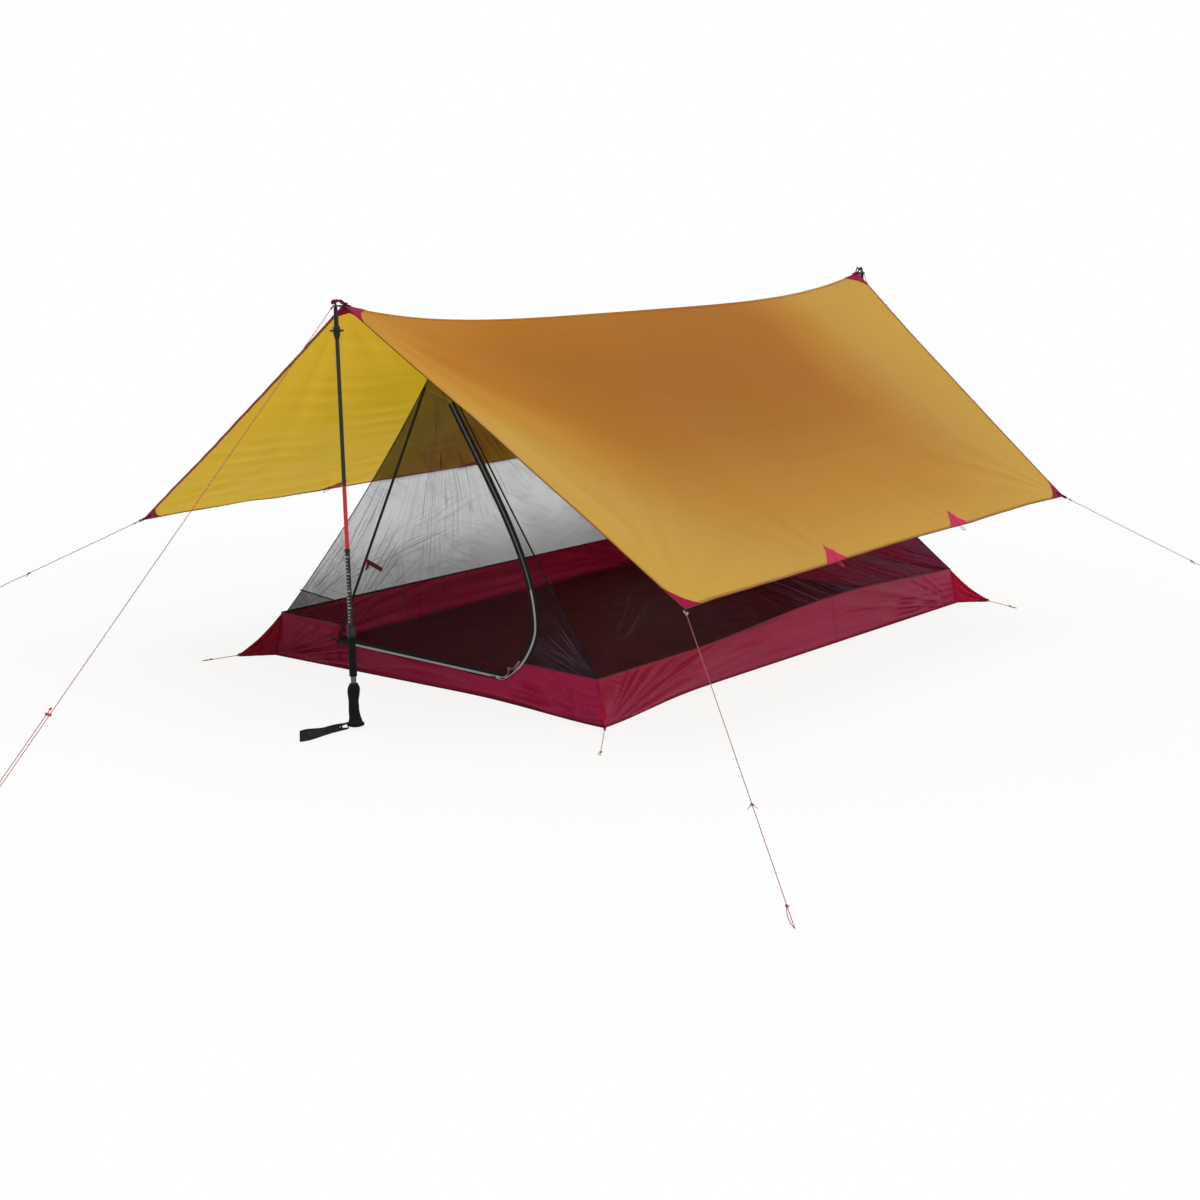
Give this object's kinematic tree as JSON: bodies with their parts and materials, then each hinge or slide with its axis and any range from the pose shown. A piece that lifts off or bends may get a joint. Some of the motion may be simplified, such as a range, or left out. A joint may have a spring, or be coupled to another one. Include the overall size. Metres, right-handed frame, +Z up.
{
  "type": "pitched ridge tarp with mesh inner tent",
  "caption": "Amber ridge tarp pitched on two upturned trekking poles over a mesh inner tent with a crimson bathtub floor, with guylines.",
  "frame": {"origin": "centre of the inner tent floor underside, on the ground", "axes": "+Z up; +Y along the ridge towards the rear, so the door faces -Y; +X to the right of someone who looks along +Y"},
  "size_m": [3.9315, 5.3749, 1.2403],
  "materials": {
    "amber_cloth": "coated ripstop, satin",
    "black_foam": "closed-cell foam, matt",
    "black_mesh": "see-through netting, matt",
    "black_plastic": "moulded, satin",
    "black_webbing": "woven, matt",
    "crimson_cloth": "coated ripstop, satin",
    "dark_shaft": "anodised, dark",
    "floor_cloth": "coated, satin",
    "graduated_shaft": "anodised black with scale marks",
    "grey_shaft": "anodised, grey",
    "guy_cord": "braided, with reflective fleck",
    "lever_plastic": "moulded, satin",
    "pink_cloth": "coated ripstop, satin",
    "red_plastic": "moulded, satin",
    "tensioner_metal": "anodised, satin",
    "zip_tape": "coil zip on woven tape"
  },
  "bodies": {
    "shelter": {"corner_patch_front_left": "crimson_cloth", "corner_patch_front_right": "crimson_cloth", "corner_patch_rear_left": "crimson_cloth", "corner_patch_rear_right": "crimson_cloth", "door_zip": "zip_tape", "guyline_front_left": "guy_cord", "guyline_front_right": "guy_cord", "guyline_rear_right": "guy_cord", "guyline_ridge_front": "guy_cord", "guyline_ridge_rear": "guy_cord", "inner_floor": "floor_cloth", "inner_mesh_front_left": "black_mesh", "inner_mesh_front_right": "black_mesh", "inner_mesh_left": "black_mesh", "inner_mesh_right": "black_mesh", "inner_panel_rear": "crimson_cloth", "inner_wall_front": "crimson_cloth", "inner_wall_left": "crimson_cloth", "inner_wall_rear": "crimson_cloth", "inner_wall_right": "crimson_cloth", "peak_strap_front": "black_webbing", "peak_strap_rear": "black_webbing", "pole_front_lower_shaft": "dark_shaft", "pole_front_tip": "black_plastic", "pole_rear_lower_shaft": "dark_shaft", "pole_rear_tip": "black_plastic", "ridge_patch_front": "crimson_cloth", "ridge_patch_rear": "crimson_cloth", "ridge_tab_front": "black_webbing", "ridge_tab_rear": "black_webbing", "stake_cord_front_left": "guy_cord", "stake_cord_front_right": "guy_cord", "stake_cord_rear_right": "guy_cord", "tarp_panel_left": "amber_cloth", "tarp_panel_right": "amber_cloth", "tensioner_front_left": "tensioner_metal", "tensioner_front_right": "tensioner_metal", "tensioner_rear_right": "tensioner_metal", "tieout_left_front": "pink_cloth", "tieout_left_rear": "pink_cloth", "tieout_right_front": "pink_cloth", "tieout_right_rear": "pink_cloth"},
    "pole_front_middle": {"pole_front_middle_shaft": "graduated_shaft"},
    "pole_front_handle": {"pole_front_upper_shaft": "grey_shaft", "pole_front_clamp": "black_plastic", "pole_front_foam_sleeve": "black_foam", "pole_front_grip": "black_foam"},
    "pole_front_lever": {"pole_front_clamp_lever": "lever_plastic"},
    "pole_front_strap": {"pole_front_wrist_strap": "black_webbing"},
    "pole_rear_middle": {"pole_rear_middle_shaft": "graduated_shaft"},
    "pole_rear_handle": {"pole_rear_upper_shaft": "grey_shaft", "pole_rear_clamp": "black_plastic", "pole_rear_foam_sleeve": "black_foam", "pole_rear_grip": "black_foam"},
    "pole_rear_lever": {"pole_rear_clamp_lever": "lever_plastic"},
    "pole_rear_strap": {"pole_rear_wrist_strap": "black_webbing"},
    "door": {"door_mesh": "black_mesh", "door_toggle": "red_plastic"},
    "zip_pull": {"zip_slider": "tensioner_metal"},
    "guy_adjuster": {"guyline_adjuster": "red_plastic"}
  },
  "joints": [
    {"name": "pole_front_middle_slide", "type": "slide", "parent": "shelter", "child": "pole_front_middle", "axis": [-0.1237, 0.0798, 0.9891], "range_m": [0, 0.2]},
    {"name": "pole_front_upper_slide", "type": "slide", "parent": "pole_front_middle", "child": "pole_front_handle", "axis": [-0.1237, 0.0798, 0.9891], "range_m": [0, 0.18]},
    {"name": "pole_front_lever_hinge", "type": "hinge", "parent": "pole_front_handle", "child": "pole_front_lever", "pos_m": [0.11728, -1.55141, 0.2813], "axis": [-0.1237, 0.0798, 0.9891], "range_deg": [0, 120]},
    {"name": "pole_front_strap_hinge", "type": "hinge", "parent": "pole_front_handle", "child": "pole_front_strap", "pos_m": [0.15121, -1.58756, 0.0112], "axis": [0, 0, 1], "range_deg": [-60, 60]},
    {"name": "pole_rear_middle_slide", "type": "slide", "parent": "shelter", "child": "pole_rear_middle", "axis": [0, -0.0523, 0.9986], "range_m": [0, 0.2]},
    {"name": "pole_rear_upper_slide", "type": "slide", "parent": "pole_rear_middle", "child": "pole_rear_handle", "axis": [0, -0.0523, 0.9986], "range_m": [0, 0.1]},
    {"name": "pole_rear_lever_hinge", "type": "hinge", "parent": "pole_rear_handle", "child": "pole_rear_lever", "pos_m": [0, 1.50533, 0.28534], "axis": [0, -0.0523, 0.9986], "range_deg": [0, 120]},
    {"name": "pole_rear_strap_hinge", "type": "hinge", "parent": "pole_rear_handle", "child": "pole_rear_strap", "pos_m": [0, 1.50541, 0.0112], "axis": [0, 0, 1], "range_deg": [-60, 60]},
    {"name": "door_hinge", "type": "hinge", "parent": "shelter", "child": "door", "pos_m": [-0.391, -1.06502, 0.0885], "axis": [0.3818, 0.029, 0.9238], "range_deg": [-40, 70]},
    {"name": "zip_slide", "type": "slide", "parent": "shelter", "child": "zip_pull", "axis": [-0.9997, 0.0007, 0.0237], "range_m": [0, 0.6]},
    {"name": "guy_adjuster_slide", "type": "slide", "parent": "shelter", "child": "guy_adjuster", "axis": [0, -0.7475, -0.6643], "range_m": [0, 0.25]}
  ]
}
